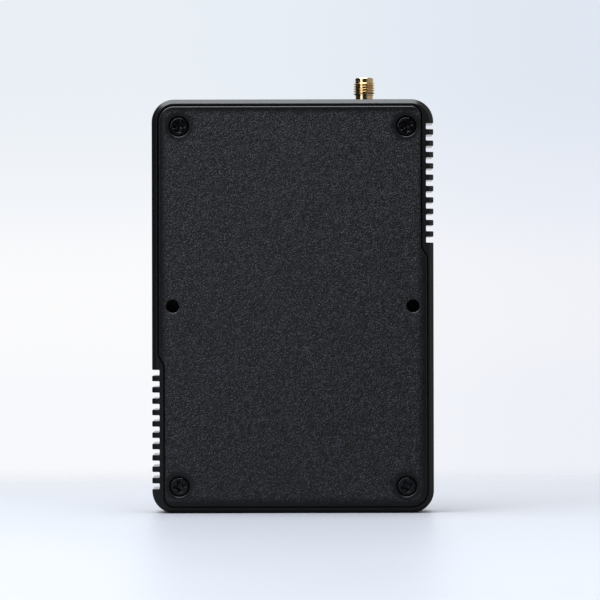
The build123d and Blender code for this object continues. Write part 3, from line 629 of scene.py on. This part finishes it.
def inlet_plastic():
    """Glossy black moulding of the power jack."""
    paint = Paint("inlet_plastic", Specular_IOR_Level=0.5)
    fine = paint.noise(0.22, 3.0)
    cloud = paint.noise(4.0, 2.0)
    paint.set(Base_Color=paint.mix(cloud, (0.012, 0.012, 0.013), (0.022, 0.022, 0.024)))
    paint.set(Roughness=0.28 + (fine - 0.5) * 0.14)
    paint.relief(fine, 0.006, 0.7)
    return paint.material


def led_lens():
    """Milky epoxy with a yellow phosphor under it."""
    paint = Paint("led_lens", Coat_Weight=0.4, Coat_Roughness=0.1)
    fine = paint.noise(0.15, 2.0)
    paint.set(Base_Color=paint.mix(fine, (0.85, 0.72, 0.30), (0.92, 0.86, 0.55)))
    paint.set(Roughness=0.24 + (fine - 0.5) * 0.1)
    return paint.material


def clear_pipe():
    """Clear acrylic with a faint haze on its moulded faces."""
    paint = Paint("clear_pipe", Transmission_Weight=0.75, IOR=1.49)
    haze = paint.noise(0.5, 3.0)
    paint.set(Base_Color=paint.mix(haze, (0.80, 0.84, 0.86), (0.92, 0.94, 0.95)))
    paint.set(Roughness=0.16 + (haze - 0.5) * 0.12)
    paint.relief(haze, 0.003, 0.5)
    return paint.material


class BoosterPower(bpy.types.Operator):
    """Finish the power jack."""

    bl_idname = "booster.power"
    bl_label = "Power jack"

    def execute(self, context):
        tin = tin_plate()
        finish_node("power_jack_housing", inlet_plastic())
        finish_node("power_jack_pin", tin)
        finish_node("power_jack_spring", tin)
        return {"FINISHED"}


class BoosterLights(bpy.types.Operator):
    """Finish the indicator lights and their light pipe."""

    bl_idname = "booster.lights"
    bl_label = "Lights"

    def execute(self, context):
        finish_node("status_leds", led_lens())
        smoothed("light_pipe", clear_pipe())
        return {"FINISHED"}


# ---------------------------------------------------------------- board

TRACK_PITCH = 1.27
LEAD_REACH = 1.02
CAN_BASE_H = 1.02
CHIP_HALF = 0.8
CHIP_END = 0.3
CAPACITOR_TONES = ((0.50, 0.36, 0.22), (0.36, 0.25, 0.15))
RESISTOR_TONES = ((0.05, 0.05, 0.055), (0.02, 0.02, 0.022))


def board_laminate():
    """Green solder mask over copper tracks, with sawn glass-epoxy edges."""
    low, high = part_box("main_board")
    paint = Paint("board", Specular_IOR_Level=0.5)
    x, _, z = paint.axes()
    _, back, _ = paint.facing()
    flat = paint.step(abs(back), 0.6, 0.9)
    patch = paint.noise(9.0, 0.0)
    along = paint.step(abs(x.repeat(TRACK_PITCH) - TRACK_PITCH / 2), 0.42, 0.48)
    upright = paint.step(abs(z.repeat(TRACK_PITCH) - TRACK_PITCH / 2), 0.42, 0.48)
    pick = patch > 0.5
    track = along * pick + upright * (1.0 - pick)
    bare = paint.step(paint.noise(6.0, 1.0), 0.50, 0.53)
    track = track * bare
    via = paint.step(paint.cells(3.1), 0.16, 0.12)
    weave = (x * 9.0).wave() * (z * 9.0).wave()
    mask = paint.mix(track, (0.010, 0.075, 0.030), (0.022, 0.150, 0.055))
    mask = paint.mix(via, mask, (0.70, 0.62, 0.40))
    edge = paint.mix(paint.noise(0.2, 2.0, 0.5, (0.3, 3.0, 0.3)), (0.38, 0.32, 0.14), (0.55, 0.48, 0.25))
    paint.set(Base_Color=paint.mix(flat, edge, mask), Metallic=via * flat * 0.8)
    paint.set(Roughness=0.62 - flat * 0.30 + weave * 0.03)
    paint.relief(track * 0.8 - via * 0.6 + weave * 0.08, 0.03)
    return paint.material


def tin_plate():
    """Bright tin over rolled steel, with drawing lines and finger marks."""
    paint = Paint("tin_plate", Metallic=1.0)
    lines = paint.noise(0.20, 2.0, 0.6, stretch=(1.0, 1.0, 0.04))
    cloud = paint.noise(7.0, 3.0)
    paint.set(Base_Color=paint.mix(cloud, (0.62, 0.62, 0.60), (0.76, 0.76, 0.74)))
    paint.set(Roughness=0.26 + (lines - 0.5) * 0.16 + (cloud - 0.5) * 0.12)
    paint.relief(lines, 0.004, 0.6)
    return paint.material


def steel_screw():
    """Zinc-plated steel."""
    paint = Paint("steel_screw", Metallic=1.0)
    cloud = paint.noise(0.6, 3.0)
    paint.set(Base_Color=paint.mix(cloud, (0.50, 0.51, 0.52), (0.66, 0.67, 0.68)))
    paint.set(Roughness=0.32 + (cloud - 0.5) * 0.2)
    paint.relief(cloud, 0.006, 0.5)
    return paint.material


def moulded_chip():
    """Charcoal moulding compound, matt and finely pitted."""
    paint = Paint("chip_mould", Specular_IOR_Level=0.4)
    fine = paint.noise(0.10, 3.0, 0.7)
    cloud = paint.noise(2.0, 2.0)
    paint.set(Base_Color=paint.mix(cloud, (0.018, 0.018, 0.019), (0.034, 0.034, 0.035)))
    paint.set(Roughness=0.55 + (fine - 0.5) * 0.2)
    paint.relief(fine, 0.012)
    return paint.material


def leaded_mould():
    """Moulding compound over a row of tinned leads: what lies low beside the body is metal."""
    low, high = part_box("controller_chip")
    paint = Paint("leaded_chip")
    x, _, z = paint.axes()
    middle = (low + high) / 2 / MM
    reach = (high.x - low.x) / 2 / MM - LEAD_REACH
    lead = abs(x - middle.x).high(abs(z - middle.z)) > reach
    fine = paint.noise(0.10, 3.0, 0.7)
    paint.set(Base_Color=paint.mix(lead, (0.024, 0.024, 0.025), (0.70, 0.70, 0.68)), Metallic=lead)
    paint.set(Roughness=0.55 - lead * 0.25 + (fine - 0.5) * 0.15)
    paint.relief(fine, 0.008)
    return paint.material


def filter_ceramic():
    """Silvered ceramic, fired matt, showing tan where the silver is left off."""
    paint = Paint("filter_ceramic")
    _, back, _ = paint.facing()
    gap = paint.step(paint.cells(1.9, "DISTANCE_TO_EDGE", 0.3), 0.16, 0.12)
    gap = gap * paint.step(-1.0 * back, 0.6, 0.9)
    fine = paint.noise(0.15, 3.0)
    paint.set(Base_Color=paint.mix(gap, (0.66, 0.65, 0.62), (0.50, 0.38, 0.24)), Metallic=1.0 - gap)
    paint.set(Roughness=0.46 + (fine - 0.5) * 0.2 + gap * 0.2)
    paint.relief(fine - gap * 0.8, 0.01)
    return paint.material


def saw_lid():
    """Gold-flashed lids of the surface-wave filters."""
    paint = Paint("saw_lid", Metallic=1.0)
    fine = paint.noise(0.12, 3.0)
    cloud = paint.noise(1.6, 2.0)
    paint.set(Base_Color=paint.mix(cloud, (0.62, 0.50, 0.28), (0.74, 0.62, 0.38)))
    paint.set(Roughness=0.38 + (fine - 0.5) * 0.18)
    paint.relief(fine, 0.005)
    return paint.material


def inductor_ferrite():
    """Dark sintered ferrite."""
    paint = Paint("inductor_ferrite")
    fine = paint.noise(0.16, 4.0, 0.7)
    paint.set(Base_Color=paint.mix(fine, (0.035, 0.034, 0.033), (0.085, 0.083, 0.080)))
    paint.set(Roughness=0.60 + (fine - 0.5) * 0.25)
    paint.relief(fine, 0.02)
    return paint.material


def can_capacitor():
    """Aluminium cans on black bases."""
    low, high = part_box("bulk_capacitors")
    paint = Paint("capacitor_can")
    _, y, _ = paint.axes()
    base = y < low.y / MM + CAN_BASE_H
    fine = paint.noise(0.18, 2.0, 0.5, stretch=(1.0, 0.1, 1.0))
    paint.set(Base_Color=paint.mix(base, (0.72, 0.73, 0.74), (0.02, 0.02, 0.02)), Metallic=1.0 - base)
    paint.set(Roughness=0.30 + base * 0.25 + (fine - 0.5) * 0.14)
    paint.relief(fine, 0.005)
    return paint.material


def end_capped(name, node, tones):
    """Small parts in two columns, with tinned ends on a ceramic body of two tones, the lighter first."""
    light, dark = tones
    low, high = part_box(node)
    column = (high.x - low.x) / 2 / MM - CHIP_HALF
    paint = Paint(name)
    x, _, _ = paint.axes()
    cap = abs(abs(x) - column) > CHIP_HALF - CHIP_END
    fine = paint.noise(0.12, 3.0)
    paint.set(Base_Color=paint.mix(cap, paint.mix(fine, dark, light), (0.72, 0.71, 0.68)), Metallic=cap)
    paint.set(Roughness=0.40 - cap * 0.1 + (fine - 0.5) * 0.16)
    paint.relief(fine, 0.008)
    return paint.material


class BoosterBoard(bpy.types.Operator):
    """Finish the circuit board and everything soldered to it."""

    bl_idname = "booster.board"
    bl_label = "Board"

    def execute(self, context):
        tin = tin_plate()
        mould = moulded_chip()
        ceramic = filter_ceramic()
        finish_node("main_board", board_laminate())
        finish_node("board_screws", steel_screw())
        for name in ("uplink_shield_fence", "uplink_shield_lid", "downlink_shield_fence",
                     "downlink_shield_lid", "clock_crystal"):
            finish_node(name, tin)
        for name in ("uplink_power_amplifier", "downlink_power_amplifier", "uplink_low_noise_amplifier",
                     "downlink_low_noise_amplifier", "gain_control_chips", "voltage_regulator"):
            finish_node(name, mould)
        for name in ("donor_duplexer", "server_duplexer"):
            finish_node(name, ceramic)
        finish_node("controller_chip", leaded_mould())
        finish_node("saw_filters", saw_lid())
        finish_node("power_inductor", inductor_ferrite())
        finish_node("bulk_capacitors", can_capacitor())
        capacitor = end_capped("capacitor_ceramic", "chip_capacitors", CAPACITOR_TONES)
        resistor = end_capped("resistor_body", "chip_resistors", RESISTOR_TONES)
        finish_node("chip_capacitors", capacitor)
        finish_node("chip_resistors", resistor)
        return {"FINISHED"}


# ---------------------------------------------------------------- indoor antenna


def brushed_plate():
    """Brushed aluminium."""
    paint = Paint("spreader_metal", Metallic=1.0)
    lines = paint.noise(0.16, 3.0, 0.7, stretch=(1.0, 1.0, 0.02))
    cloud = paint.noise(12.0, 2.0)
    paint.set(Base_Color=paint.mix(cloud, (0.70, 0.71, 0.72), (0.80, 0.81, 0.82)))
    paint.set(Roughness=0.34 + (lines - 0.5) * 0.2)
    paint.relief(lines, 0.008, 0.8)
    return paint.material


def patch_metal():
    """Tinned brass sheet of the patch, a little warmer than the shield cans."""
    paint = Paint("patch_metal", Metallic=1.0)
    lines = paint.noise(0.22, 2.0, 0.6, stretch=(0.03, 1.0, 1.0))
    cloud = paint.noise(9.0, 3.0)
    paint.set(Base_Color=paint.mix(cloud, (0.66, 0.63, 0.56), (0.78, 0.75, 0.68)))
    paint.set(Roughness=0.28 + (lines - 0.5) * 0.16 + (cloud - 0.5) * 0.1)
    paint.relief(lines, 0.004, 0.6)
    return paint.material


def thermal_pad():
    """Soft grey-blue silicone with filler specks."""
    paint = Paint("thermal_pad")
    fine = paint.noise(0.35, 4.0, 0.7)
    paint.set(Base_Color=paint.mix(fine, (0.20, 0.25, 0.33), (0.34, 0.40, 0.50)))
    paint.set(Roughness=0.72 + (fine - 0.5) * 0.2)
    paint.relief(fine, 0.03)
    return paint.material


def nylon():
    """Natural nylon, slightly translucent."""
    paint = Paint("nylon", Subsurface_Weight=0.2, Subsurface_Scale=0.5 * MM)
    fine = paint.noise(0.2, 3.0)
    paint.set(Base_Color=paint.mix(fine, (0.70, 0.68, 0.60), (0.80, 0.78, 0.71)))
    paint.set(Roughness=0.40 + (fine - 0.5) * 0.2)
    paint.relief(fine, 0.008)
    return paint.material


def lead_jacket():
    """Brown fluoropolymer jacket of the thin coaxial lead, with a painted sheen in lighter streaks along
    it.
    """
    paint = Paint("lead_jacket", Coat_Weight=0.2, Coat_Roughness=0.2)
    fine = paint.noise(0.12, 2.0, 0.5, stretch=(1.0, 1.0, 0.1))
    # The lighter streaks along the lead are painted sheen; the roughness and bumps follow the same streaks.
    paint.set(Base_Color=paint.mix(fine, (0.09, 0.045, 0.025), (0.16, 0.08, 0.045)))
    paint.set(Roughness=0.32 + (fine - 0.5) * 0.14)
    paint.relief(fine, 0.004)
    return paint.material


class BoosterAntenna(bpy.types.Operator):
    """Finish the indoor antenna, its ground plate and its lead."""

    bl_idname = "booster.antenna"
    bl_label = "Indoor antenna"

    def execute(self, context):
        clear = nylon()
        finish_node("heat_spreader", brushed_plate())
        finish_node("spreader_screws", steel_screw())
        finish_node("thermal_pads", thermal_pad())
        finish_node("patch_radiator", patch_metal())
        finish_node("patch_spacers", clear)
        finish_node("patch_screws", clear)
        finish_node("coax_lead", lead_jacket())
        return {"FINISHED"}


# ---------------------------------------------------------------- stage

FLOOR_MIDDLE_Y = -250.0
FLOOR_SOLID = 350.0
FLOOR_GONE = 650.0
FLOOR_MARGIN = 1.05
FLOOR_SIDES = 96
FLOOR_BOUNCE = 0.3
BACKDROP_HIGH = (0.875, 0.915, 0.945)
BACKDROP_GLOW = (0.958, 0.960, 0.972)
BACKDROP_RIGHT = (0.915, 0.925, 0.965)
LIGHT_BEHIND = (0.95, 0.97, 1.0)
LIGHT_RIGHT = (1.0, 0.93, 0.88)
LIGHT_COLOUR = (0.91, 0.955, 1.0)

# Places and sizes of the lights and the camera are in metres, and the lens and its sensor in millimetres.
SOFTBOX_FRONT = Vector((-0.20, -0.85, 0.74))
SOFTBOX_BACK = Vector((-0.20, 0.35, 1.05))
SOFTBOX_WIDTH = 1.0
SIDEBOX_PLACE = Vector((-0.58, -0.82, 0.36))
SIDEBOX_SIZE = (0.45, 0.70)
CAMERA_ASIDE = 0.00205
CAMERA_ABOVE = 0.00177
CAMERA_ROLL = 0.12
CAMERA_NEAR = 0.05
CAMERA_FAR = 30.0
SENSOR_WIDTH = 36.0


def floor_material(settings):
    """A pale sheet with a soft sheen, which runs out into the backdrop."""
    paint = Paint("studio_floor", Specular_IOR_Level=0.5)
    x, y, _ = paint.axes()
    away = (x ** 2.0 + (y - FLOOR_MIDDLE_Y) ** 2.0).root()
    cloud = paint.noise(60.0, 2.0) - 0.5
    pale = tuple(settings.floor_colour)
    seen = paint.node("ShaderNodeLightPath")["Is Camera Ray"]
    tint = paint.mix(cloud + 0.5, times(pale, 0.99), times(pale, 1.01))
    paint.set(Base_Color=paint.mix(seen, times(pale, FLOOR_BOUNCE), tint))
    paint.set(Roughness=0.40 + cloud * 0.03, Alpha=1.0 - paint.step(away, FLOOR_SOLID, FLOOR_GONE))
    return paint.material


def make_floor(settings):
    """A round floor under the case, out to where its finish has faded away."""
    mesh = bpy.data.meshes.new("studio_floor")
    shape = bmesh.new()
    bmesh.ops.create_circle(shape, cap_ends=True, segments=FLOOR_SIDES,
                            radius=FLOOR_GONE * FLOOR_MARGIN * MM)
    bmesh.ops.translate(shape, verts=shape.verts, vec=(0.0, FLOOR_MIDDLE_Y * MM, 0.0))
    shape.to_mesh(mesh)
    shape.free()
    floor = bpy.data.objects.new("studio_floor", mesh)
    bpy.context.scene.collection.objects.link(floor)
    mesh.materials.append(floor_material(settings))


def softbox(name, spot, aim, size, radiance):
    """A rectangular softbox at spot, facing aim, upright."""
    light = bpy.data.lights.new(name, "AREA")
    light.shape = "RECTANGLE"
    light.size = size[0]
    light.size_y = size[1]
    light.energy = radiance * math.pi * size[0] * size[1]
    light.color = LIGHT_COLOUR
    lamp = bpy.data.objects.new(name, light)
    bpy.context.scene.collection.objects.link(lamp)
    lamp.location = spot
    lamp.rotation_euler = (Vector(aim) - Vector(spot)).to_track_quat("-Z", "Y").to_euler()
    lamp.visible_camera = False


def studio_world(settings):
    """A pale backdrop seen all round; what the object feels is bright behind it and dim elsewhere."""
    world = bpy.data.worlds.new("studio")
    bpy.context.scene.world = world
    world.use_nodes = True
    sheet = Sheet(world.node_tree)
    sheet.tree.nodes.clear()
    x, y, z = sheet.split(sheet.node("ShaderNodeTexCoord")["Generated"])
    pale = tuple(settings.backdrop_colour)
    high = tinted(pale, BACKDROP_HIGH)
    glow = sheet.step(z, -0.020, -0.004) * (1.0 - sheet.step(z, 0.0, 0.020))
    tint = sheet.mix(sheet.step(z, 0.0, 0.048), pale, high)
    tint = sheet.mix(glow, tint, BACKDROP_GLOW)
    shade = sheet.node("ShaderNodeMix", {"data_type": "RGBA", "blend_type": "MULTIPLY"},
                       {0: sheet.step(x, -0.035, 0.062), 6: tint, 7: BACKDROP_RIGHT})[2]
    seen = sheet.node("ShaderNodeBackground", None, {"Color": shade, "Strength": 1.0})
    behind = sheet.step(y, 0.45, 0.85) * (1.0 - sheet.step(abs(x), 0.50, 0.90))
    right = sheet.step(x, 0.30, 0.80)
    strength = behind * 0.88 + right * 0.40 + 0.02
    warm = sheet.mix(right, LIGHT_BEHIND, LIGHT_RIGHT)
    felt = sheet.node("ShaderNodeBackground", None, {"Color": warm, "Strength": strength})
    direct = sheet.node("ShaderNodeLightPath")["Is Camera Ray"]
    both = {0: direct, 1: felt["Background"], 2: seen["Background"]}
    blend = sheet.node("ShaderNodeMixShader", None, both)
    sheet.node("ShaderNodeOutputWorld", None, {"Surface": blend["Shader"]})


def make_camera(settings):
    """A long lens square on to the back cover, just above its middle."""
    data = bpy.data.cameras.new("camera")
    data.sensor_width = SENSOR_WIDTH
    data.lens = data.sensor_width * settings.camera_distance / settings.field_width
    data.clip_start = CAMERA_NEAR
    data.clip_end = CAMERA_FAR
    camera = bpy.data.objects.new("camera", data)
    bpy.context.scene.collection.objects.link(camera)
    camera.location = (CAMERA_ASIDE, COVER_LOW.y - settings.camera_distance, CASE_MIDDLE.z + CAMERA_ABOVE)
    camera.rotation_euler = (math.radians(90.0), math.radians(CAMERA_ROLL), 0.0)
    bpy.context.scene.camera = camera


class BoosterStage(bpy.types.Operator):
    """Make the floor, the lights and the camera."""

    bl_idname = "booster.stage"
    bl_label = "Stage"

    def execute(self, context):
        settings = context.scene.booster_stage
        make_floor(settings)
        studio_world(settings)
        slope = SOFTBOX_FRONT - SOFTBOX_BACK
        size = (SOFTBOX_WIDTH, slope.length)
        middle = (SOFTBOX_FRONT + SOFTBOX_BACK) / 2
        down = Vector((0.0, slope.z, -slope.y)).normalized() * -1.0
        softbox("top_softbox", middle, middle + down, size, settings.top_light)
        softbox("side_softbox", SIDEBOX_PLACE, CASE_MIDDLE, SIDEBOX_SIZE, settings.side_light)
        make_camera(settings)
        context.scene.view_settings.view_transform = "Standard"
        return {"FINISHED"}


# ---------------------------------------------------------------- add-on

SETTINGS = {
    "booster_case": BoosterCaseSettings,
    "booster_jack": BoosterJackSettings,
    "booster_stage": BoosterStageSettings,
}
OPERATORS = (
    BoosterCase,
    BoosterJack,
    BoosterPower,
    BoosterLights,
    BoosterBoard,
    BoosterAntenna,
    BoosterStage,
)


class BoosterPanel(bpy.types.Panel):
    """The booster's settings and its operators, in the 3D view's sidebar."""

    bl_idname = "VIEW3D_PT_booster"
    bl_label = "Signal booster"
    bl_space_type = "VIEW_3D"
    bl_region_type = "UI"
    bl_category = "Booster"

    def draw(self, context):
        layout = self.layout
        for name, group in SETTINGS.items():
            box = layout.box()
            for key in group.__annotations__:
                box.prop(getattr(context.scene, name), key)
        for operator in OPERATORS:
            layout.operator(operator.bl_idname)


def register():
    for group in SETTINGS.values():
        bpy.utils.register_class(group)
    for name, group in SETTINGS.items():
        setattr(bpy.types.Scene, name, bpy.props.PointerProperty(type=group))
    for operator in OPERATORS:
        bpy.utils.register_class(operator)
    bpy.utils.register_class(BoosterPanel)


def unregister():
    bpy.utils.unregister_class(BoosterPanel)
    for operator in reversed(OPERATORS):
        bpy.utils.unregister_class(operator)
    for name, group in SETTINGS.items():
        delattr(bpy.types.Scene, name)
        bpy.utils.unregister_class(group)


def main():
    register()
    for operator in OPERATORS:
        group, name = operator.bl_idname.split(".")
        getattr(getattr(bpy.ops, group), name)()


if __name__ == "__main__":
    main()
